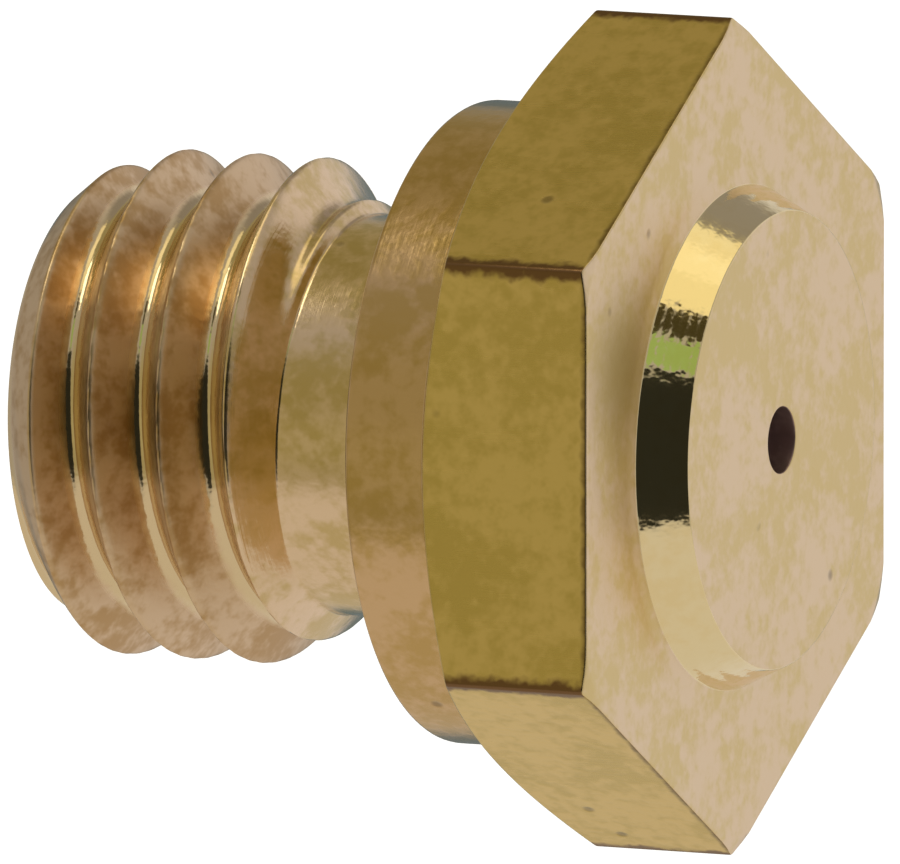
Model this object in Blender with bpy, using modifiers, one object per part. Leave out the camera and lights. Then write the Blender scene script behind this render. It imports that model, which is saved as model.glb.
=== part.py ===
"""Oil burner nozzle at full size, in metres.

The nozzle stands on its threaded inlet end. Its axis is +Z, in the direction of the spray, and
the origin is the centre of the inlet end face. Two corners of the hexagon point along +Y and -Y,
so two of its flats face +X and -X.

The pieces, from the mouth down: nozzle body, orifice disc, distributor, retaining screw, and a
strainer made of a ferrule, a support core, a gauze sleeve and an end cap.
"""
import math

import bmesh
import bpy
from mathutils import Matrix, Vector

MM = 0.001
OBJECT_NAME = "oil_burner_nozzle"

# Driving dimensions, in millimetres. Heights are measured along the axis from the inlet end.
ACROSS_FLATS = 17.0
LENGTH = 17.5
THREAD_PITCH = 1.75
THREAD_RADIUS = 5.94
THREAD_ROOT_RADIUS = 4.85
THREAD_TOP = 5.42
COLLAR_RADIUS = 7.49
COLLAR_BASE = 9.76
HEAD_BASE = 12.2
HEAD_TOP = 16.36
BOSS_RADIUS = 5.33
MOUTH_RADIUS = 0.775
CHAMBER_RADIUS = 3.05
CHAMBER_TOP = 16.7
SCREW_PITCH = 0.75
SCREW_RADIUS = 3.45
SCREW_BASE = 7.7
STRAINER_BASE = 0.6

# Clearances between pieces that touch on the real nozzle.
FIT = 0.07
SEAT = 0.06

# Facets of a full circle.
OUTER_STEPS = 48
INNER_STEPS = 36
SMALL_STEPS = 24

FLANK_SLOPE = math.tan(math.radians(30))
BRASS = (0.62, 0.44, 0.17)
STEEL = (0.55, 0.55, 0.56)


def clear_scene():
    """Remove every object of the open scene."""
    for obj in list(bpy.data.objects):
        bpy.data.objects.remove(obj, do_unlink=True)


def make_collection(name):
    """A new collection under the scene's own."""
    collection = bpy.data.collections.new(name)
    bpy.context.scene.collection.children.link(collection)
    return collection


def make_material(name, colour, roughness, metallic=1.0):
    """A Principled material of one colour."""
    material = bpy.data.materials.new(name)
    material.use_nodes = True
    shader = material.node_tree.nodes["Principled BSDF"]
    shader.inputs["Base Color"].default_value = (*colour, 1.0)
    shader.inputs["Roughness"].default_value = roughness
    shader.inputs["Metallic"].default_value = metallic
    return material


def add_object(name, mesh, collection):
    """An object for a mesh, linked to its collection."""
    obj = bpy.data.objects.new(name, mesh)
    collection.objects.link(obj)
    return obj


def mesh_from(bm, name):
    """A mesh from a bmesh in millimetres, scaled to metres."""
    bmesh.ops.scale(bm, vec=Vector((MM, MM, MM)), verts=bm.verts)
    mesh = bpy.data.meshes.new(name)
    bm.to_mesh(mesh)
    bm.free()
    return mesh


def turned(name, outline, collection, steps):
    """A turned piece. outline is a list of (radius, height) points in millimetres that runs
    down the outer side; it starts and ends on the axis, or closes on itself as a ring."""
    bm = bmesh.new()
    verts = [bm.verts.new((radius, 0.0, height)) for radius, height in outline]
    for first, second in zip(verts, verts[1:]):
        bm.edges.new((first, second))
    if outline[0][0] > 0.0:
        bm.edges.new((verts[-1], verts[0]))
    obj = add_object(name, mesh_from(bm, name), collection)
    screw = obj.modifiers.new("Turn", "SCREW")
    screw.axis = "Z"
    screw.steps = steps
    screw.render_steps = steps
    screw.use_merge_vertices = True
    screw.merge_threshold = 1e-7
    return obj


def box_mesh(bm, size, placement):
    """Add a box of the given size to a bmesh."""
    shape = Matrix.Diagonal((*size, 1.0))
    bmesh.ops.create_cube(bm, size=1.0, matrix=placement @ shape)


def helical_bar(name, section, pitch, first_turn, turns, steps, collection):
    """A bar swept along a right-hand helix about Z. section is a loop of (radius, height)
    points at the angle of the hexagon corner on +Y, and first_turn shifts it along the axis.
    It starts half a facet further round, so its edges pass between those of a turned piece."""
    bm = bmesh.new()
    shift = (first_turn + 0.5 / steps) * pitch
    half_facet = Matrix.Rotation(math.pi / steps, 4, "Z")
    points = [half_facet @ Vector((0.0, radius, height + shift)) for radius, height in section]
    verts = [bm.verts.new(point) for point in points]
    face = bm.faces.new(verts)
    count = round(turns * steps)
    bmesh.ops.spin(
        bm,
        geom=[*verts, *face.edges, face],
        cent=(0.0, 0.0, 0.0),
        axis=(0.0, 0.0, 1.0),
        dvec=(0.0, 0.0, pitch / steps),
        angle=2.0 * math.pi * count / steps,
        steps=count,
    )
    bmesh.ops.recalc_face_normals(bm, faces=bm.faces)
    return add_object(name, mesh_from(bm, name), collection)


def boolean(target, cutter, operation="DIFFERENCE"):
    """Cut or intersect a piece with a cutter, which is kept out of renders."""
    modifier = target.modifiers.new(cutter.name, "BOOLEAN")
    modifier.operation = operation
    modifier.solver = "EXACT"
    modifier.object = cutter
    cutter.hide_render = True
    cutter.display_type = "WIRE"


def finish(obj, material):
    """Apply the modifiers, give the piece its material and shade its round faces smooth."""
    depsgraph = bpy.context.evaluated_depsgraph_get()
    mesh = bpy.data.meshes.new_from_object(obj.evaluated_get(depsgraph), depsgraph=depsgraph)
    obj.modifiers.clear()
    blank = obj.data
    obj.data = mesh
    bpy.data.meshes.remove(blank)
    mesh.name = obj.name
    mesh.materials.clear()
    mesh.materials.append(material)
    mesh.shade_smooth()
    mesh.set_sharp_from_angle(angle=math.radians(30))
    return obj


def body_outline():
    """The body's outer outline, as a solid bar: boss, head blank, collar, neck and thread."""
    boss_base = 5.88
    fillet = 0.24
    chamfer_start = 9.4
    head_radius = ACROSS_FLATS / math.sqrt(3) + 0.1
    front_drop = (head_radius - chamfer_start) * math.tan(math.radians(18))
    rear_slope = math.tan(math.radians(24))
    rear_rise = (head_radius - ACROSS_FLATS / 2) * rear_slope
    collar_drop = (ACROSS_FLATS / 2 - COLLAR_RADIUS) * rear_slope
    neck_radius = 4.68
    return [
        (0.0, LENGTH),
        (BOSS_RADIUS - 0.12, LENGTH),
        (BOSS_RADIUS, LENGTH - 0.12),
        (boss_base, HEAD_TOP + 0.08),
        (boss_base + fillet, HEAD_TOP),
        (chamfer_start, HEAD_TOP),
        (head_radius, HEAD_TOP - front_drop),
        (head_radius, HEAD_BASE + rear_rise),
        (COLLAR_RADIUS, HEAD_BASE - collar_drop),
        (COLLAR_RADIUS, COLLAR_BASE + 0.12),
        (COLLAR_RADIUS - 0.12, COLLAR_BASE),
        (neck_radius + 0.2, COLLAR_BASE),
        (neck_radius, COLLAR_BASE - 0.2),
        (neck_radius, THREAD_TOP + 1.09),
        (THREAD_RADIUS, THREAD_TOP),
        (THREAD_RADIUS, 1.15),
        (THREAD_RADIUS - 0.94, 0.0),
        (0.0, 0.0),
    ]


def bore_outline():
    """The outline of the hollow inside the body, run past both of its ends."""
    inlet_radius = 3.75
    thread_radius = 3.10
    relief_radius = 3.65
    return [
        (0.0, LENGTH + 1.0),
        (MOUTH_RADIUS, LENGTH + 1.0),
        (MOUTH_RADIUS, CHAMBER_TOP),
        (CHAMBER_RADIUS, CHAMBER_TOP),
        (CHAMBER_RADIUS, 12.0),
        (relief_radius, 12.0),
        (relief_radius, 11.3),
        (thread_radius, 11.3),
        (thread_radius, 7.65),
        (inlet_radius, 7.0),
        (inlet_radius, 0.4),
        (inlet_radius + 1.4, -1.0),
        (0.0, -1.0),
    ]


def make_body(parts, cutters, material):
    """The brass body, with its hexagon, its bore and its two threads."""
    body = turned("nozzle_body", body_outline(), parts, OUTER_STEPS)

    bm = bmesh.new()
    circumradius = ACROSS_FLATS / math.sqrt(3)
    bmesh.ops.create_cone(
        bm,
        cap_ends=True,
        segments=6,
        radius1=circumradius,
        radius2=circumradius,
        depth=LENGTH + 2.0,
        matrix=Matrix.Translation((0.0, 0.0, LENGTH / 2)),
    )
    hexagon = add_object("hexagon_bar", mesh_from(bm, "hexagon_bar"), cutters)
    boolean(body, hexagon, "INTERSECT")
    boolean(body, turned("body_bore", bore_outline(), cutters, INNER_STEPS))

    # The groove between the threads is centred 1.235 mm up on the side of the +Y corner.
    groove_height = 1.235
    root = 0.12
    mouth_radius = THREAD_RADIUS + 0.4
    half_mouth = root + (mouth_radius - THREAD_ROOT_RADIUS) * FLANK_SLOPE
    section = [
        (THREAD_ROOT_RADIUS, groove_height + root),
        (THREAD_ROOT_RADIUS, groove_height - root),
        (mouth_radius, groove_height - half_mouth),
        (mouth_radius, groove_height + half_mouth),
    ]
    groove = helical_bar(
        "outer_thread_groove", section, THREAD_PITCH, -2, 5.25, OUTER_STEPS, cutters
    )
    boolean(body, groove)

    root_radius = SCREW_RADIUS + 0.15
    inner_radius = 2.8
    root = 0.03
    half_mouth = root + (root_radius - inner_radius) * FLANK_SLOPE
    section = [
        (root_radius, SCREW_BASE - root),
        (root_radius, SCREW_BASE + root),
        (inner_radius, SCREW_BASE + half_mouth),
        (inner_radius, SCREW_BASE - half_mouth),
    ]
    groove = helical_bar(
        "inner_thread_groove", section, SCREW_PITCH, -2, 7.1, INNER_STEPS, cutters
    )
    boolean(body, groove)
    return finish(body, material)


def make_disc(parts, material):
    """The hardened disc with the spray hole and its conical swirl chamber."""
    radius = CHAMBER_RADIUS - 0.1
    top = CHAMBER_TOP - FIT
    orifice_radius = 0.25
    outline = [
        (orifice_radius, top),
        (radius - 0.15, top),
        (radius, top - 0.15),
        (radius, 15.3),
        (1.9, 15.3),
        (0.55, 16.25),
        (orifice_radius, 16.4),
    ]
    return finish(turned("orifice_disc", outline, parts, INNER_STEPS), material)


def make_distributor(parts, cutters, material):
    """The swirl plug: a cone with tangential slots, on a plug with side grooves."""
    radius = CHAMBER_RADIUS - 0.1
    cone_radius = 1.9
    cone_base = 15.3 - SEAT
    tip_radius = 0.75
    cone_slope = 1.35 / 0.95
    tip = cone_base + (cone_radius - tip_radius) / cone_slope
    base = 12.0
    outline = [
        (0.0, tip),
        (tip_radius, tip),
        (cone_radius, cone_base),
        (radius - 0.2, cone_base),
        (radius, cone_base - 0.2),
        (radius, base + 0.2),
        (radius - 0.2, base),
        (0.0, base),
    ]
    plug = turned("distributor", outline, parts, INNER_STEPS)

    bm = bmesh.new()
    slot_count = 4
    slope = Matrix.Rotation(math.atan(1.0 / cone_slope), 4, "Y")
    for index in range(slot_count):
        turn = Matrix.Rotation(2.0 * math.pi * index / slot_count, 4, "Z")
        groove_place = turn @ Matrix.Translation((radius, 0.0, (base + cone_base) / 2))
        box_mesh(bm, (0.9, 0.9, cone_base - base + 1.0), groove_place)
        slot_place = turn @ Matrix.Translation((cone_radius, 0.3, cone_base + 0.05)) @ slope
        box_mesh(bm, (3.0, 0.36, 0.6), slot_place)
    channels = add_object("oil_channels", mesh_from(bm, "oil_channels"), cutters)
    boolean(plug, channels)
    plug.modifiers[-1].use_self = True
    return finish(plug, material)


def make_screw(parts, cutters, material):
    """The hollow screw that presses the distributor on to the disc."""
    nose_radius = 2.3
    nose_top = 12.0 - SEAT
    thread_top = 10.7
    counterbore = 1.72
    bore = 1.1
    outline = [
        (0.0, nose_top),
        (nose_radius - 0.2, nose_top),
        (nose_radius, nose_top - 0.2),
        (nose_radius, thread_top),
        (2.9, thread_top),
        (SCREW_RADIUS, thread_top - 0.35),
        (SCREW_RADIUS, SCREW_BASE + 0.25),
        (SCREW_RADIUS - 0.35, SCREW_BASE),
        (counterbore, SCREW_BASE),
        (counterbore, 9.4),
        (bore, 9.4),
        (bore, 10.9),
        (0.0, 11.5),
    ]
    screw = turned("retaining_screw", outline, parts, INNER_STEPS)

    bm = bmesh.new()
    box_mesh(bm, (0.9, 10.0, 1.6), Matrix.Translation((0.0, 0.0, SCREW_BASE)))
    slot = add_object("driver_slot", mesh_from(bm, "driver_slot"), cutters)
    boolean(screw, slot)

    for index in range(2):
        bm = bmesh.new()
        turn = Matrix.Rotation(math.pi / 2 * index, 4, "Z")
        placement = Matrix.Translation((0.0, 0.0, 11.25)) @ turn @ Matrix.Rotation(math.pi / 2, 4, "X")
        bmesh.ops.create_cone(
            bm,
            cap_ends=True,
            segments=16,
            radius1=0.36,
            radius2=0.36,
            depth=6.0,
            matrix=placement,
        )
        port = add_object(f"oil_port_{index + 1}", mesh_from(bm, "oil_port"), cutters)
        boolean(screw, port)

    crest = 0.047
    root_radius = 2.98
    mouth_radius = SCREW_RADIUS + 0.3
    half_root = SCREW_PITCH / 2 - crest - (SCREW_RADIUS - root_radius) * FLANK_SLOPE
    half_mouth = half_root + (mouth_radius - root_radius) * FLANK_SLOPE
    middle = SCREW_BASE + SCREW_PITCH / 2
    section = [
        (root_radius, middle + half_root),
        (root_radius, middle - half_root),
        (mouth_radius, middle - half_mouth),
        (mouth_radius, middle + half_mouth),
    ]
    groove = helical_bar("screw_groove", section, SCREW_PITCH, -2, 6.2, INNER_STEPS, cutters)
    boolean(screw, groove)
    return finish(screw, material)


def make_strainer(parts, cutters, brass, core, gauze):
    """The strainer that is pushed into the back of the screw."""
    flange_radius = 2.6
    spigot_radius = 1.92
    bore = 1.05
    flange_top = SCREW_BASE - 0.08
    flange_base = flange_top - 0.6
    stem_radius = 1.65
    ferrule = [
        (bore, 9.3),
        (stem_radius - 0.15, 9.3),
        (stem_radius, 9.15),
        (stem_radius, flange_top),
        (flange_radius - 0.1, flange_top),
        (flange_radius, flange_top - 0.1),
        (flange_radius, flange_base + 0.1),
        (flange_radius - 0.1, flange_base),
        (spigot_radius, flange_base),
        (spigot_radius, flange_base - 1.0),
        (bore, flange_base - 1.0),
    ]
    finish(turned("strainer_ferrule", ferrule, parts, SMALL_STEPS), brass)

    tube_top = flange_base - SEAT
    cap_top = STRAINER_BASE + 0.55
    tube_base = cap_top + SEAT
    inner = spigot_radius + SEAT
    wall = 0.3
    tube = [
        (inner + wall, tube_top),
        (inner + wall, tube_base),
        (inner, tube_base),
        (inner, tube_top),
    ]
    support = turned("strainer_support", tube, parts, SMALL_STEPS)
    bm = bmesh.new()
    rows = 3
    pitch = 1.3
    middle = (tube_top + tube_base) / 2
    for row in range(rows):
        height = middle + pitch * (row - (rows - 1) / 2)
        for index in range(rows):
            turn = Matrix.Rotation(math.pi * index / rows, 4, "Z")
            placement = turn @ Matrix.Translation((0.0, 0.0, height))
            box_mesh(bm, (8.0, 1.2, 0.95), placement)
    windows = add_object("support_windows", mesh_from(bm, "support_windows"), cutters)
    boolean(support, windows)
    support.modifiers[-1].use_self = True
    finish(support, core)

    sleeve_inner = inner + wall + SEAT
    sleeve_outer = sleeve_inner + 0.13
    sleeve = [
        (sleeve_outer, tube_top),
        (sleeve_outer, tube_base),
        (sleeve_inner, tube_base),
        (sleeve_inner, tube_top),
    ]
    finish(turned("strainer_gauze", sleeve, parts, SMALL_STEPS), gauze)

    cap = [
        (0.0, STRAINER_BASE + 0.9),
        (1.4, STRAINER_BASE + 0.9),
        (1.4, STRAINER_BASE + 1.5),
        (spigot_radius, STRAINER_BASE + 1.5),
        (spigot_radius, cap_top),
        (flange_radius, cap_top),
        (flange_radius, STRAINER_BASE + 0.15),
        (flange_radius - 0.15, STRAINER_BASE),
        (0.0, STRAINER_BASE),
    ]
    finish(turned("strainer_end_cap", cap, parts, SMALL_STEPS), brass)


def main():
    """Build the nozzle."""
    clear_scene()
    parts = make_collection(OBJECT_NAME)
    cutters = make_collection("cutters")
    cast = make_material("body_brass", BRASS, 0.35)
    bright = make_material("turned_brass", BRASS, 0.25)
    hard = make_material("hardened_steel", STEEL, 0.2)
    core = make_material("support_steel", STEEL, 0.35)
    gauze = make_material("gauze_steel", STEEL, 0.45)
    make_body(parts, cutters, cast)
    make_disc(parts, hard)
    make_distributor(parts, cutters, hard)
    make_screw(parts, cutters, bright)
    make_strainer(parts, cutters, bright, core, gauze)


main()
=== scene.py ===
import math

import bmesh
import bpy
import numpy as np
from mathutils import Matrix, Vector


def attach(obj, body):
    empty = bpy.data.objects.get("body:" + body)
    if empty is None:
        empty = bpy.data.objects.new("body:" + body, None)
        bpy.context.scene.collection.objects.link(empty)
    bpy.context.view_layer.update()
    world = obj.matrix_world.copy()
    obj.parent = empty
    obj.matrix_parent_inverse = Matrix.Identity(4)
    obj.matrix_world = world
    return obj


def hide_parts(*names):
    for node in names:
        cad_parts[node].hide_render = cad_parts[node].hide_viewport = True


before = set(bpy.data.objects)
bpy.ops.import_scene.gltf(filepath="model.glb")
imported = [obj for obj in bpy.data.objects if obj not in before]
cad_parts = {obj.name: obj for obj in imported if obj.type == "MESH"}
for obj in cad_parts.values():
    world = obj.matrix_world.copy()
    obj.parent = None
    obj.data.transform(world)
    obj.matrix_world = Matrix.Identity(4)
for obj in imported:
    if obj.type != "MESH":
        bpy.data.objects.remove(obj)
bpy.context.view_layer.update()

# The nozzle stands on its threaded inlet end with its axis on +Z and a hexagon corner on +Y.
# Lengths are in millimetres until a mesh is made; heights are measured from the inlet end.
MM = 0.001
ACROSS_FLATS = 17.0
LENGTH = 17.5
HEAD_TOP = 16.36
HEAD_BASE = 12.2
BOSS_RADIUS = 5.33
BOSS_BASE_RADIUS = 5.88
CHAMFER_RADIUS = 9.4
COLLAR_RADIUS = 7.49
COLLAR_BASE = 9.76
NECK_RADIUS = 4.68
NECK_BASE = 7.1
MOUTH_RADIUS = 0.775
CHAMBER_RADIUS = 3.05
CHAMBER_TOP = 16.7

THREAD_PITCH = 1.75
THREAD_RADIUS = 5.94
THREAD_ROOT = 4.85
THREAD_TOP = 5.55
THREAD_FIRST_CREST = 2.11
ROOT_FILLET = 0.3
ROOT_LIFT = 0.06
RUN_OUT_SLOPE = 1.155
INLET_CHAMFER = 1.15
INLET_CHAMFER_SLOPE = 0.817
INLET_RADIUS = 3.75
SCREW_PITCH = 0.75
SCREW_BASE = 7.7
SCREW_RADIUS = 3.45
SCREW_ROOT = 2.98
SCREW_TOP = 10.35
SCREW_TOP_SLOPE = 1.57
SCREW_END_SLOPE = 1.4
SCREW_PORT_HEIGHT = 11.25
INNER_MINOR = 3.10
INNER_ROOT = 3.60
FLANK = math.tan(math.radians(30))

STRAINER_WINDOW = (1.2, 0.95)
STRAINER_WINDOW_PITCH = 1.3
STRAINER_MIDDLE = 4.085
GAUZE_RADIUS = 2.405
GAUZE_ENDS = (1.26, 6.91)
FLOOR_HEIGHT = -11.3


# ---------------------------------------------------------------- mesh helpers

def hexagon_columns(corner_radius=0.14, flat_points=26, arc_points=6):
    """Angles and radii of points round the hexagon, a rounded corner after each flat."""
    apothem = ACROSS_FLATS / 2
    half_flat = (apothem - corner_radius) * FLANK
    corner = (apothem - corner_radius) * (1 + 1j * FLANK)
    points = []
    for side in range(6):
        turn = np.exp(1j * math.radians(60 * side))
        flat = apothem + 1j * np.linspace(-half_flat, half_flat, flat_points)
        sweep = np.radians(np.linspace(0, 60, arc_points + 2)[1:-1])
        points.extend(flat * turn)
        points.extend((corner + corner_radius * np.exp(1j * sweep)) * turn)
    points = np.array(points)
    return np.angle(points), np.abs(points)


def even_columns(count):
    """Evenly spaced angles."""
    return np.linspace(0, 2 * math.pi, count, endpoint=False)


def soft_min(a, b, width):
    """The smaller of two values, with the corner between them rounded over a width."""
    blend = np.maximum(width - np.abs(a - b), 0) / width
    return np.minimum(a, b) - blend * blend * width / 4


def soft_max(a, b, width):
    """The larger of two values, with the corner between them rounded over a width."""
    return -soft_min(-a, -b, width)


def rounded_rows(corners, columns, steps=4):
    """Rows of (radius, height) points down a turned outline. Each corner is (radius, height,
    rounding, zone), and its values may differ from column to column. The zone names the surface
    that follows the corner. Returns the rows, and the zone that follows each row."""
    points = []
    for radius, height, _, _ in corners:
        pair = np.broadcast_arrays(radius, height, np.zeros(columns))
        points.append(np.stack(pair[:2], axis=1).astype(float))
    rows, zones = [], []
    for index, (_, _, rounding, zone) in enumerate(corners):
        corner = points[index]
        if rounding == 0:
            rows.append(corner)
            zones.append(zone)
            continue
        before = points[index - 1] - corner
        after = points[(index + 1) % len(points)] - corner
        length_before = np.linalg.norm(before, axis=1, keepdims=True)
        length_after = np.linalg.norm(after, axis=1, keepdims=True)
        start = corner + before / length_before * np.minimum(rounding, 0.45 * length_before)
        end = corner + after / length_after * np.minimum(rounding, 0.45 * length_after)
        for step in range(steps + 1):
            t = step / steps
            rows.append((1 - t) ** 2 * start + 2 * t * (1 - t) * corner + t * t * end)
            zones.append(corners[index - 1][3] if t < 0.5 else zone)
    return rows, zones


def ring_object(name, rows, zones, angles, materials, sharp_degrees=40):
    """A closed surface through rows of (radius, height) points, the last joined to the first."""
    columns = len(angles)
    across = np.cos(angles)
    along = np.sin(angles)
    verts = np.concatenate(
        [np.stack([row[:, 0] * across, row[:, 0] * along, row[:, 1]], axis=1) for row in rows]
    )
    faces = []
    slots = []
    names = list(materials)
    for index, zone in enumerate(zones):
        here = index * columns
        below = (index + 1) % len(rows) * columns
        for column in range(columns):
            side = (column + 1) % columns
            faces.append((here + column, below + column, below + side, here + side))
            slots.append(names.index(zone))
    return mesh_object(name, verts * MM, faces, list(materials.values()), slots, sharp_degrees)


def mesh_object(name, verts, faces, materials, slots=None, sharp_degrees=40):
    """A smooth-shaded object with sharp edges by angle, its material slots set face by face."""
    mesh = bpy.data.meshes.new(name)
    mesh.from_pydata([tuple(v) for v in verts], [], faces)
    for material in materials:
        mesh.materials.append(material)
    if slots is not None:
        mesh.polygons.foreach_set("material_index", slots)
    mesh.validate()
    obj = bpy.data.objects.new(name, mesh)
    bpy.context.scene.collection.objects.link(obj)
    shade(obj, sharp_degrees)
    return obj


def shade(obj, sharp_degrees):
    """Smooth shading, with edges kept sharp above an angle."""
    obj.data.shade_smooth()
    obj.data.set_sharp_from_angle(angle=math.radians(sharp_degrees))
    weighted = obj.modifiers.new("Weighted normals", "WEIGHTED_NORMAL")
    weighted.keep_sharp = True


def stand_in_for(piece, body, node):
    """Let a fine piece ride on its body in place of its CAD node."""
    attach(piece, body)
    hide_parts(node)


# ---------------------------------------------------------------- the nozzle body

def outer_thread(angles, height):
    """Radius of the threaded shank at a height: the blank with its helical groove."""
    turn = (height - THREAD_FIRST_CREST) / THREAD_PITCH - (angles - math.pi / 2) / (2 * math.pi)
    from_groove = THREAD_PITCH / 2 - np.abs(turn - np.round(turn)) * THREAD_PITCH
    rounded = np.hypot(from_groove, ROOT_FILLET) - ROOT_FILLET
    groove = THREAD_ROOT + ROOT_LIFT + rounded / FLANK
    blank = THREAD_RADIUS
    if height > THREAD_TOP - 0.2:
        run_out = THREAD_TOP + 0.16 + 0.18 * np.cos(angles - 1.41)
        blank = soft_min(blank, THREAD_RADIUS - (height - run_out) * RUN_OUT_SLOPE, 0.45)
        blank = soft_max(blank, NECK_RADIUS, 0.04)
    if height < 1.5:
        chamfer = THREAD_RADIUS - (INLET_CHAMFER - height) * INLET_CHAMFER_SLOPE
        blank = soft_min(blank, chamfer, 0.12)
    return soft_min(groove, blank, 0.14)


def inner_thread(angles, height):
    """Radius of the threaded hole at a height."""
    turn = (height - SCREW_BASE) / SCREW_PITCH - (angles - math.pi / 2) / (2 * math.pi)
    from_groove = np.abs(turn - np.round(turn)) * SCREW_PITCH
    flank = INNER_ROOT - (from_groove - 0.03) / FLANK
    hole = soft_max(soft_min(flank, INNER_ROOT, 0.05), INNER_MINOR, 0.05)
    return soft_max(hole, INLET_RADIUS - (height - 7.0), 0.03)


def make_body(materials):
    """The brass body: boss, hexagon, collar, neck and thread outside; bore and thread inside."""
    angles, hexagon = hexagon_columns()
    rear_slope = math.tan(math.radians(24))
    face_edge = np.minimum(hexagon - 0.05, CHAMFER_RADIUS)
    front_edge = HEAD_TOP - np.maximum((hexagon - CHAMFER_RADIUS) * 0.325, 0.03)
    rear_edge = HEAD_BASE + (hexagon - ACROSS_FLATS / 2) * rear_slope
    collar_top = HEAD_BASE - (ACROSS_FLATS / 2 - COLLAR_RADIUS) * rear_slope
    corners = [
        (MOUTH_RADIUS, CHAMBER_TOP, 0.0, "mouth"),
        (MOUTH_RADIUS, LENGTH, 0.05, "face"),
        (BOSS_RADIUS, LENGTH, 0.05, "boss"),
    ]
    for step in range(1, 36):
        share = step / 36
        ripple = 0.004 * math.sin(6 * math.pi * share)
        radius = BOSS_RADIUS + share * (BOSS_BASE_RADIUS - BOSS_RADIUS) + ripple
        corners.append((radius, LENGTH - share * (LENGTH - HEAD_TOP - 0.05), 0.0, "boss"))
    corners += [
        (BOSS_BASE_RADIUS, HEAD_TOP + 0.05, 0.03, "front"),
        (BOSS_BASE_RADIUS + 0.32, HEAD_TOP, 0.12, "front"),
        (face_edge, HEAD_TOP, 0.05, "front"),
        (hexagon, front_edge, 0.05, "flats"),
        (hexagon, rear_edge, 0.06, "rear"),
        (COLLAR_RADIUS, collar_top, 0.06, "collar"),
        (COLLAR_RADIUS, COLLAR_BASE, 0.12, "seat"),
        (NECK_RADIUS, COLLAR_BASE, 0.25, "neck"),
        (NECK_RADIUS, NECK_BASE, 0.0, "neck"),
    ]
    for height in np.arange(NECK_BASE - 0.03, 0.05, -0.035):
        zone = "neck" if height > THREAD_TOP + 0.02 else "thread"
        corners.append((outer_thread(angles, height), height, 0.0, zone))
    corners.append((outer_thread(angles, 0.0), 0.0, 0.04, "seat"))
    corners += [
        (4.15, 0.0, 0.04, "bore"),
        (INLET_RADIUS, 0.4, 0.04, "bore"),
    ]
    for height in np.arange(6.8, 11.3, 0.06):
        corners.append((inner_thread(angles, height), height, 0.0, "bore"))
    corners += [
        (INNER_MINOR, 11.3, 0.0, "bore"),
        (3.65, 11.3, 0.0, "bore"),
        (3.65, 12.0, 0.0, "bore"),
        (CHAMBER_RADIUS, 12.0, 0.0, "bore"),
        (CHAMBER_RADIUS, CHAMBER_TOP, 0.0, "bore"),
    ]
    rows, zones = rounded_rows(corners, len(angles))
    body = ring_object("nozzle_body_fine", rows, zones, angles, materials)
    stand_in_for(body, "body", "nozzle_body")


# ---------------------------------------------------------------- the pieces inside

def turned_piece(node, corners, material, columns=96):
    """A turned piece with slightly rounded edges. Each corner is (radius, height) or
    (radius, height, rounding); the outline runs down the outer side and closes on itself."""
    full = []
    for radius, height, *rounding in corners:
        full.append((radius, height, rounding[0] if rounding else 0.04, "all"))
    rows, zones = rounded_rows(full, columns)
    return ring_object(node + "_fine", rows, zones, even_columns(columns), {"all": material})


def cut(piece, shapes):
    """Cut a piece with boxes and cylinders, given as (kind, matrix) in millimetres."""
    bm = bmesh.new()
    for kind, matrix in shapes:
        if kind == "box":
            bmesh.ops.create_cube(bm, size=1.0, matrix=matrix)
        else:
            bmesh.ops.create_cone(
                bm, cap_ends=True, segments=32, radius1=0.5, radius2=0.5, depth=1.0, matrix=matrix
            )
    bmesh.ops.scale(bm, vec=Vector((MM, MM, MM)), verts=bm.verts)
    mesh = bpy.data.meshes.new("cutter")
    bm.to_mesh(mesh)
    bm.free()
    cutter = bpy.data.objects.new("cutter", mesh)
    bpy.context.scene.collection.objects.link(cutter)
    piece.modifiers.clear()
    boolean = piece.modifiers.new("Cut", "BOOLEAN")
    boolean.solver = "EXACT"
    boolean.use_self = True
    boolean.object = cutter
    depsgraph = bpy.context.evaluated_depsgraph_get()
    carved = bpy.data.meshes.new_from_object(piece.evaluated_get(depsgraph), depsgraph=depsgraph)
    piece.modifiers.clear()
    piece.data = carved
    shade(piece, 35)
    bpy.data.objects.remove(cutter)


def screw_thread(angles, height):
    """Radius of the retaining screw's thread at a height."""
    turn = (height - SCREW_BASE) / SCREW_PITCH - 0.5 - (angles - math.pi / 2) / (2 * math.pi)
    from_groove = np.abs(turn - np.round(turn)) * SCREW_PITCH
    groove = soft_max(SCREW_ROOT + (from_groove - 0.057) / FLANK, SCREW_ROOT, 0.06)
    upper_edge = SCREW_RADIUS - (height - SCREW_TOP) * SCREW_TOP_SLOPE
    lower_edge = INNER_MINOR + (height - SCREW_BASE) * SCREW_END_SLOPE
    blank = min(SCREW_RADIUS, upper_edge, lower_edge)
    return soft_min(groove, blank, 0.05)


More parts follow.
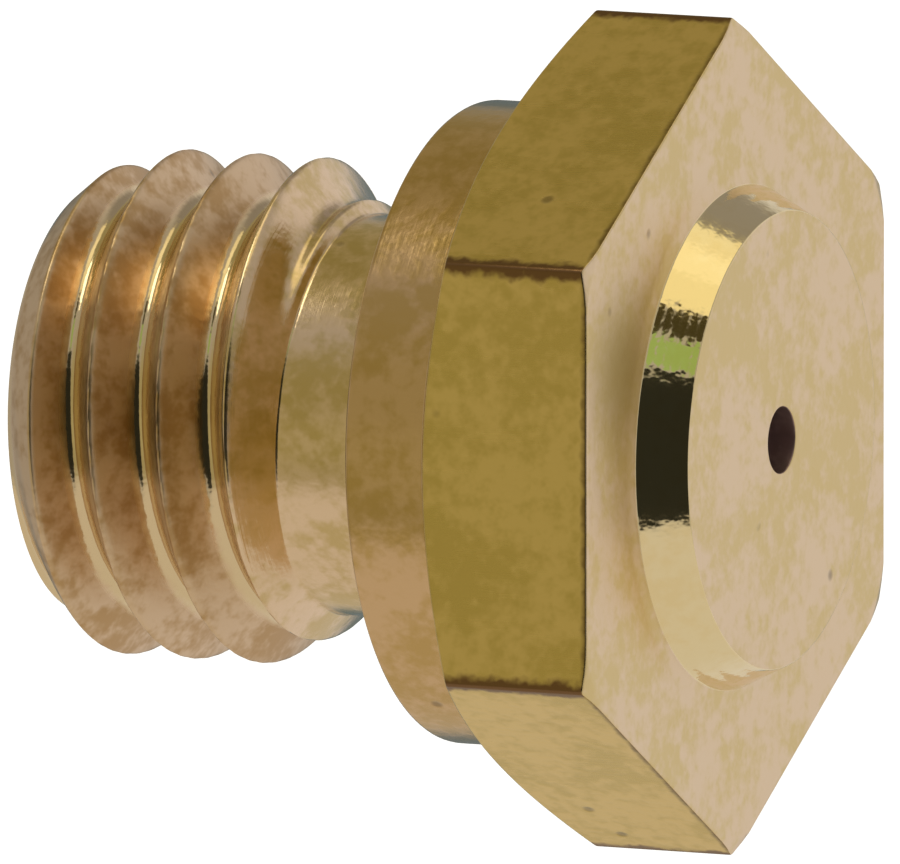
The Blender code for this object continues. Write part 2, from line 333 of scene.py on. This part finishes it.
def make_screw(material):
    """The hollow retaining screw, with its driver slot and its cross-drilled ports."""
    angles = even_columns(96)
    corners = [
        (0.001, 11.94, 0.0, "all"),
        (2.1, 11.94, 0.03, "all"),
        (2.3, 11.74, 0.03, "all"),
        (2.3, 10.72, 0.03, "all"),
        (2.88, 10.72, 0.0, "all"),
    ]
    for height in np.arange(10.7, SCREW_BASE, -0.05):
        corners.append((screw_thread(angles, height), height, 0.0, "all"))
    corners += [
        (SCREW_ROOT, SCREW_BASE, 0.03, "all"),
        (1.72, SCREW_BASE, 0.05, "all"),
        (1.72, 9.4, 0.0, "all"),
        (1.1, 9.4, 0.03, "all"),
        (1.1, 10.9, 0.03, "all"),
        (0.001, 11.5, 0.0, "all"),
    ]
    rows, zones = rounded_rows(corners, len(angles))
    screw = ring_object("retaining_screw_fine", rows, zones, angles, {"all": material})
    slot = Matrix.Translation((0.0, 0.0, SCREW_BASE)) @ Matrix.Diagonal((0.9, 10.0, 1.6, 1.0))
    shapes = [("box", slot)]
    for turn in (0.0, math.pi / 2):
        port = Matrix.Rotation(turn, 4, "Z") @ Matrix.Rotation(math.pi / 2, 4, "X")
        port = Matrix.Translation((0.0, 0.0, SCREW_PORT_HEIGHT)) @ port
        shapes.append(("cylinder", port @ Matrix.Diagonal((0.72, 0.72, 6.0, 1.0))))
    cut(screw, shapes)
    stand_in_for(screw, "retaining_screw", "retaining_screw")


def make_disc(material):
    """The orifice disc with its spray hole and swirl chamber."""
    corners = [
        (0.25, 16.63), (2.8, 16.63), (2.95, 16.48), (2.95, 15.3),
        (1.9, 15.3), (0.55, 16.25), (0.25, 16.4),
    ]
    piece = turned_piece("orifice_disc", corners, material)
    stand_in_for(piece, "body", "orifice_disc")


def make_strainer(brass_finish, core_finish, wire_finish):
    """The strainer's ferrule, windowed core, woven sleeve and end cap."""
    ferrule = [
        (1.05, 9.3), (1.5, 9.3), (1.65, 9.15), (1.65, 7.62), (2.5, 7.62), (2.6, 7.52),
        (2.6, 7.12), (2.5, 7.02), (1.92, 7.02), (1.92, 6.02), (1.05, 6.02),
    ]
    piece = turned_piece("strainer_ferrule", ferrule, brass_finish)
    stand_in_for(piece, "strainer", "strainer_ferrule")
    cap = [
        (0.001, 1.5, 0.0), (1.4, 1.5), (1.4, 2.1), (1.92, 2.1), (1.92, 1.15), (2.6, 1.15),
        (2.6, 0.75), (2.45, 0.6), (0.45, 0.6), (0.001, 0.78, 0.0),
    ]
    piece = turned_piece("strainer_end_cap", cap, brass_finish)
    stand_in_for(piece, "strainer", "strainer_end_cap")
    tube = [(1.98, 6.96), (2.28, 6.96), (2.28, 1.21), (1.98, 1.21)]
    piece = turned_piece("strainer_support", tube, core_finish)
    windows = []
    width, tall = STRAINER_WINDOW
    for row in range(3):
        for index in range(3):
            place = Matrix.Rotation(math.pi * index / 3, 4, "Z")
            rise = STRAINER_MIDDLE + STRAINER_WINDOW_PITCH * (row - 1)
            place = place @ Matrix.Translation((0.0, 0.0, rise))
            windows.append(("box", place @ Matrix.Diagonal((8.0, width, tall, 1.0))))
    cut(piece, windows)
    stand_in_for(piece, "strainer", "strainer_support")
    make_gauze(wire_finish)


def make_gauze(material, uprights=64, hoops=24, wire=0.032, sides=6):
    """Plain-woven wire: each upright passes over one hoop and under the next, and the wires swing
    by their own radius, so that they just touch where they cross."""
    low, high = GAUZE_ENDS
    section = np.linspace(0, 2 * math.pi, sides, endpoint=False)
    verts = []
    faces = []

    def add_wire(angle, radius, height, tangent, closed):
        """One wire along its centre line; its section lies across the tangent."""
        start = sum(len(v) for v in verts)
        count = len(height)
        out = radius[:, None] + wire * np.cos(section)[None, :]
        side = wire * np.sin(section)[None, :] * np.ones((count, 1))
        round_part, rise = (side, 0.0) if tangent == "up" else (0.0, side)
        x = out * np.cos(angle)[:, None] - round_part * np.sin(angle)[:, None]
        y = out * np.sin(angle)[:, None] + round_part * np.cos(angle)[:, None]
        z = height[:, None] + rise + np.zeros((count, sides))
        verts.append(np.stack([x, y, z], axis=2).reshape(-1, 3))
        for ring in range(count if closed else count - 1):
            for k in range(sides):
                here = start + ring * sides
                there = start + (ring + 1) % count * sides
                after = (k + 1) % sides
                quad = (here + k, here + after, there + after, there + k)
                faces.append(quad if tangent == "up" else quad[::-1])
        if not closed:
            faces.append(tuple(start + k for k in reversed(range(sides))))
            faces.append(tuple(start + (count - 1) * sides + k for k in range(sides)))

    step = np.linspace(0, hoops - 1, 3 * (hoops - 1) + 1)
    for index in range(uprights):
        sign = 1 if index % 2 else -1
        radius = GAUZE_RADIUS + sign * wire * np.cos(math.pi * step)
        angle = np.full(len(step), 2 * math.pi * index / uprights)
        add_wire(angle, radius, low + step / (hoops - 1) * (high - low), "up", False)
    step = np.linspace(0, uprights, 3 * uprights, endpoint=False)
    for index in range(hoops):
        sign = 1 if index % 2 else -1
        radius = GAUZE_RADIUS - sign * wire * np.cos(math.pi * step)
        height = np.full(len(step), low + index / (hoops - 1) * (high - low))
        add_wire(2 * math.pi * step / uprights, radius, height, "round", True)
    gauze = mesh_object("strainer_gauze_fine", np.concatenate(verts) * MM, faces, [material])
    stand_in_for(gauze, "strainer", "strainer_gauze")


# ---------------------------------------------------------------- materials

class Nodes:
    """Adds nodes to a material or world, one short call each."""

    def __init__(self, tree):
        self.tree = tree

    def add(self, kind, inputs=(), **settings):
        """A node with its settings and inputs; an input is a value or another node's socket."""
        node = self.tree.nodes.new(kind)
        for key, value in settings.items():
            setattr(node, key, value)
        for key, value in dict(inputs).items():
            if isinstance(value, bpy.types.NodeSocket):
                self.tree.links.new(value, node.inputs[key])
            else:
                node.inputs[key].default_value = value
        return node

    def math(self, operation, *values):
        """The result of a Math node."""
        return self.add("ShaderNodeMath", enumerate(values), operation=operation).outputs[0]

    def ramp(self, value, low, high, smooth=True):
        """Maps low..high to 0..1, clamped."""
        kind = "SMOOTHSTEP" if smooth else "LINEAR"
        inputs = {"Value": value, "From Min": low, "From Max": high}
        return self.add("ShaderNodeMapRange", inputs, interpolation_type=kind).outputs[0]

    def mix(self, factor, first, second):
        """A mix of two colours."""
        inputs = {0: factor, 6: first, 7: second}
        return self.add("ShaderNodeMix", inputs, data_type="RGBA").outputs[2]

    def noise(self, vector, scale, detail=2.0, roughness=0.5):
        """A noise value about 0.5."""
        inputs = {"Vector": vector, "Scale": scale, "Detail": detail, "Roughness": roughness}
        return self.add("ShaderNodeTexNoise", inputs).outputs[0]


def colour(red, green, blue):
    """A colour with full alpha."""
    return (red, green, blue, 1.0)


def brass(name, light, dark, roughness, grain, grain_depth=0.25, tints_and_painted_light=(), pits=0.5, dull=None):
    """Machined brass. light and dark are the tones of its mottling; grain names the direction
    of the tool marks: rings on a turned face, hoops round a turned side, lines along a milled
    flat. Each tint is (measure, clear, full, tone): it turns the metal towards tone from one
    value in millimetres to another of its radius, its height or its distance from a point. Most
    tints darken the metal; a lighter tint can stand in as a painted highlight. dull is
    (from, to, roughness): the metal gets that rough between the two radii."""
    material = bpy.data.materials.new(name)
    material.use_nodes = True
    nodes = Nodes(material.node_tree)
    shader = material.node_tree.nodes["Principled BSDF"]
    place = nodes.add("ShaderNodeTexCoord").outputs["Object"]
    split = nodes.add("ShaderNodeSeparateXYZ", {"Vector": place})
    x, y, z = split.outputs
    flat = nodes.add("ShaderNodeCombineXYZ", {"X": x, "Y": y}).outputs[0]
    radius = nodes.add("ShaderNodeVectorMath", {0: flat}, operation="LENGTH").outputs["Value"]

    if grain == "rings":
        across = nodes.add("ShaderNodeCombineXYZ", {"X": radius}).outputs[0]
    elif grain == "hoops":
        across = nodes.add("ShaderNodeCombineXYZ", {"X": z}).outputs[0]
    else:
        thin = nodes.math("MULTIPLY", z, 0.03)
        across = nodes.add("ShaderNodeCombineXYZ", {"X": x, "Y": y, "Z": thin}).outputs[0]
    marks = nodes.noise(across, 9000.0, 3.0, 0.7)
    clouds = nodes.noise(place, 420.0, 3.0, 0.6)
    specks = nodes.noise(place, 2600.0, 2.0, 0.6)

    mottle = nodes.ramp(nodes.math("ADD", clouds, nodes.math("MULTIPLY", specks, 0.7)), 0.68, 1.0)
    base = nodes.mix(mottle, colour(*dark), colour(*light))
    uneven = nodes.math("MULTIPLY", nodes.math("SUBTRACT", specks, 0.5), 0.00025)
    for measure, clear, full, tone in tints_and_painted_light:
        if measure == "radius":
            value = radius
        elif measure == "height":
            value = z
        else:
            point = tuple(c * MM for c in measure)
            gap = nodes.add("ShaderNodeVectorMath", {0: place, 1: point}, operation="DISTANCE")
            value = gap.outputs["Value"]
        value = nodes.math("ADD", value, uneven)
        base = nodes.mix(nodes.ramp(value, clear * MM, full * MM), base, colour(*tone))
    cells = nodes.add(
        "ShaderNodeTexVoronoi", {"Vector": place, "Scale": 700.0, "Randomness": 1.0}
    )
    chosen = nodes.ramp(nodes.noise(place, 300.0, 1.0), 0.56, 0.59)
    pit = nodes.math("MULTIPLY", nodes.ramp(cells.outputs["Distance"], 0.14, 0.05), chosen)
    pit = nodes.math("MULTIPLY", pit, pits)
    base = nodes.mix(pit, base, colour(0.10, 0.06, 0.03))
    material.node_tree.links.new(base, shader.inputs["Base Color"])

    polish = nodes.math("MULTIPLY", nodes.math("SUBTRACT", marks, 0.5), 0.16)
    cloudy = nodes.math("MULTIPLY", nodes.math("SUBTRACT", clouds, 0.5), 0.2)
    polish = nodes.math("ADD", polish, cloudy)
    rough = nodes.math("MULTIPLY", nodes.math("ADD", polish, 1.0), roughness)
    if dull:
        start, end, full_roughness = dull
        share = nodes.ramp(radius, start * MM, end * MM)
        rough = nodes.math("ADD", rough, nodes.math("MULTIPLY", share, full_roughness - roughness))
    material.node_tree.links.new(rough, shader.inputs["Roughness"])

    bump = nodes.add(
        "ShaderNodeBump", {"Strength": grain_depth, "Distance": 0.00001, "Height": marks}
    )
    dents = nodes.add(
        "ShaderNodeBump",
        {"Strength": 0.35, "Distance": 0.00003, "Height": specks, "Normal": bump.outputs[0]},
    )
    sunk = nodes.add(
        "ShaderNodeBump",
        {"Strength": 0.6, "Distance": 0.00004, "Height": pit, "Normal": dents.outputs[0]},
        invert=True,
    )
    material.node_tree.links.new(sunk.outputs[0], shader.inputs["Normal"])
    shader.inputs["Metallic"].default_value = 1.0
    return material


def body_materials():
    """One finish of brass for each zone of the body."""
    tan = (0.84, 0.66, 0.45)
    straw = (0.75, 0.585, 0.28)
    gold = (0.78, 0.57, 0.22)
    ochre = (0.64, 0.47, 0.15)
    return {
        # The mouth of the spray hole is coloured darker than the outer brass: painted shade inside
        # the hole.
        "mouth": brass("brass_mouth", (0.50, 0.36, 0.34), (0.36, 0.25, 0.24), 0.5, "hoops"),
        "face": brass("brass_face", tan, straw, 0.36, "rings", 0.15),
        "boss": brass(
            "brass_boss", (0.88, 0.74, 0.46), (0.86, 0.70, 0.40), 0.08, "hoops", 0.05, pits=0.0
        ),
        # The front face is darker in a patch beside the boss, on its left.
        "front": brass(
            "brass_front", tan, straw, 0.36, "rings", 0.2,
            tints_and_painted_light=[((-6.6, 2.4, HEAD_TOP), 2.6, 0.2, (0.52, 0.40, 0.17))],
        ),
        # The flats are darker along the hexagon's corners and along their front edge.
        "flats": brass(
            "brass_flats", gold, ochre, 0.28, "lines", 0.3,
            tints_and_painted_light=[
                ("radius", 9.64, 9.76, (0.20, 0.11, 0.05)),
                ("height", HEAD_TOP - 0.2, HEAD_TOP - 0.02, (0.26, 0.17, 0.06)),
            ],
        ),
        "rear": brass("brass_rear", gold, ochre, 0.3, "rings", 0.3),
        "collar": brass("brass_collar", (0.68, 0.46, 0.25), (0.56, 0.37, 0.14), 0.22, "hoops", 0.3),
        "neck": brass("brass_neck", (0.80, 0.60, 0.40), (0.62, 0.46, 0.21), 0.2, "hoops", 0.4),
        "seat": brass("brass_seat", tan, ochre, 0.3, "rings", 0.3),
        # The thread roots get a lighter, creamier tint: a painted highlight for the bright streaks
        # along them. The roots are also polished, less rough than the flanks and crests.
        "thread": brass(
            "brass_thread", (0.72, 0.53, 0.34), (0.52, 0.33, 0.15), 0.11, "hoops", 0.05,
            tints_and_painted_light=[("radius", 5.12, 4.96, (0.76, 0.60, 0.37))],
            dull=(5.0, 5.15, 0.36),
        ),
        "bore": brass("brass_bore", (0.55, 0.40, 0.18), (0.35, 0.24, 0.10), 0.35, "hoops"),
    }


def steel(name, tone, roughness):
    """Machined steel with fine marks."""
    return brass(name, tone, tuple(0.8 * c for c in tone), roughness, "hoops", 0.2, pits=0.0)


# ---------------------------------------------------------------- light, floor and camera

CAMERA_SIDE = Vector((-0.9024, 0.1366, 0.4086)).normalized()
CAMERA_UP = Vector((0.1246, 0.9906, -0.0561))
VIEW_CENTRE = Vector((0.0, -0.29, 9.06)) * MM
VIEW_WIDTH = 20.92 * MM


def make_world():
    """A soft surround with tinted patches, laid out for the reflections at the camera's angle."""
    world = bpy.data.worlds.new("studio")
    bpy.context.scene.world = world
    world.use_nodes = True
    nodes = Nodes(world.node_tree)
    direction = nodes.add("ShaderNodeTexCoord").outputs["Generated"]
    light = colour(0.46, 0.44, 0.40)
    lobes = [
        # Dim brown round the camera's side, for the milled flats and the middle of round sides.
        ((-0.90, -0.15, -0.41), 25, 60, (0.42, 0.38, 0.22)),
        ((0.32, 0.85, -0.41), 20, 50, (0.36, 0.32, 0.17)),
        ((-0.90, -0.15, -0.41), 6, 16, (0.47, 0.43, 0.25)),
        # Pale below and behind.
        ((0.10, -1.00, 0.0), 58, 68, (0.68, 0.63, 0.54)),
        ((0.90, -0.15, 0.41), 35, 60, (0.74, 0.71, 0.69)),
        ((0.70, 0.72, 0.03), 10, 24, (0.30, 0.28, 0.26)),
        ((0.90, -0.14, -0.41), 18, 32, (0.14, 0.20, 0.23)),
        # A window above, in three panes, and its glow on the edges of the thread.
        ((-0.30, 0.95, -0.08), 12, 17, (2.5, 2.4, 1.9)),
        ((0.285, 0.934, 0.216), 7, 13, (1.0, 0.9, 0.58)),
        ((0.049, 0.955, 0.292), 8, 14, (1.15, 1.05, 0.7)),
        ((-0.187, 0.915, 0.357), 7, 12, (1.05, 0.95, 0.6)),
        # The dark camera, with a green glint beside it.
        ((-0.421, 0.808, 0.413), 6, 8, (0.06, 0.05, 0.02)),
        ((-0.871, 0.006, 0.491), 31, 33, (0.025, 0.025, 0.018)),
        ((-0.610, 0.650, 0.453), 6.5, 8.5, (0.35, 0.50, 0.17)),
    ]
    for centre, inner, outer, tone in lobes:
        centre = Vector(centre).normalized()
        facing = nodes.add(
            "ShaderNodeVectorMath", {0: direction, 1: centre}, operation="DOT_PRODUCT"
        ).outputs["Value"]
        share = nodes.ramp(facing, math.cos(math.radians(outer)), math.cos(math.radians(inner)))
        light = nodes.mix(share, light, colour(*tone))
    seen = nodes.add("ShaderNodeLightPath").outputs["Is Camera Ray"]
    light = nodes.mix(seen, light, colour(1.0, 1.0, 1.0))
    background = world.node_tree.nodes["Background"]
    world.node_tree.links.new(light, background.inputs["Color"])
    background.inputs["Strength"].default_value = 1.0


def make_floor():
    """A plain pale floor, low enough for the strainer to be drawn out above it. It is clear from
    below, so that the underside can be seen."""
    size = 30.0
    verts = [(-size, -size, 0.0), (size, -size, 0.0), (size, size, 0.0), (-size, size, 0.0)]
    material = bpy.data.materials.new("floor_white")
    material.use_nodes = True
    shader = material.node_tree.nodes["Principled BSDF"]
    shader.inputs["Base Color"].default_value = colour(0.8, 0.8, 0.8)
    shader.inputs["Roughness"].default_value = 0.9
    shader.inputs["Emission Color"].default_value = colour(1.0, 1.0, 1.0)
    shader.inputs["Emission Strength"].default_value = 0.75
    nodes = Nodes(material.node_tree)
    below = nodes.add("ShaderNodeNewGeometry").outputs["Backfacing"]
    clear = nodes.add("ShaderNodeBsdfTransparent").outputs[0]
    either = nodes.add("ShaderNodeMixShader", {0: below, 1: shader.outputs[0], 2: clear})
    output = material.node_tree.nodes["Material Output"]
    material.node_tree.links.new(either.outputs[0], output.inputs["Surface"])
    mesh = bpy.data.meshes.new("floor")
    mesh.from_pydata(verts, [], [(0, 1, 2, 3)])
    mesh.materials.append(material)
    floor = bpy.data.objects.new("floor", mesh)
    floor.location = (0.0, 0.0, FLOOR_HEIGHT * MM)
    bpy.context.scene.collection.objects.link(floor)
    floor.visible_glossy = False


def make_camera():
    """A long lens on the side of the camera, with a corner of the hexagon up."""
    data = bpy.data.cameras.new("camera")
    data.lens = 1600.0
    camera = bpy.data.objects.new("camera", data)
    bpy.context.scene.collection.objects.link(camera)
    distance = VIEW_WIDTH * data.lens / data.sensor_width
    right = CAMERA_UP.cross(CAMERA_SIDE).normalized()
    up = CAMERA_SIDE.cross(right)
    turn = Matrix((right, up, CAMERA_SIDE)).transposed()
    camera.matrix_world = Matrix.Translation(VIEW_CENTRE + CAMERA_SIDE * distance) @ turn.to_4x4()
    data.clip_start = distance * 0.2
    data.clip_end = distance * 40
    bpy.context.scene.camera = camera


def main():
    """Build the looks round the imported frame."""
    make_body(body_materials())
    hard = steel("steel_hard", (0.56, 0.56, 0.57), 0.2)
    core = steel("steel_core", (0.50, 0.50, 0.50), 0.35)
    bright = brass("brass_turned", (0.84, 0.66, 0.36), (0.74, 0.55, 0.26), 0.2, "hoops")
    wire = steel("steel_wire", (0.56, 0.56, 0.54), 0.3)
    make_disc(hard)
    make_screw(bright)
    make_strainer(bright, core, wire)
    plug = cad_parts["distributor"].data
    plug.materials.clear()
    plug.materials.append(hard)

    make_world()
    make_floor()
    make_camera()
    bpy.context.scene.view_settings.view_transform = "Standard"


main()
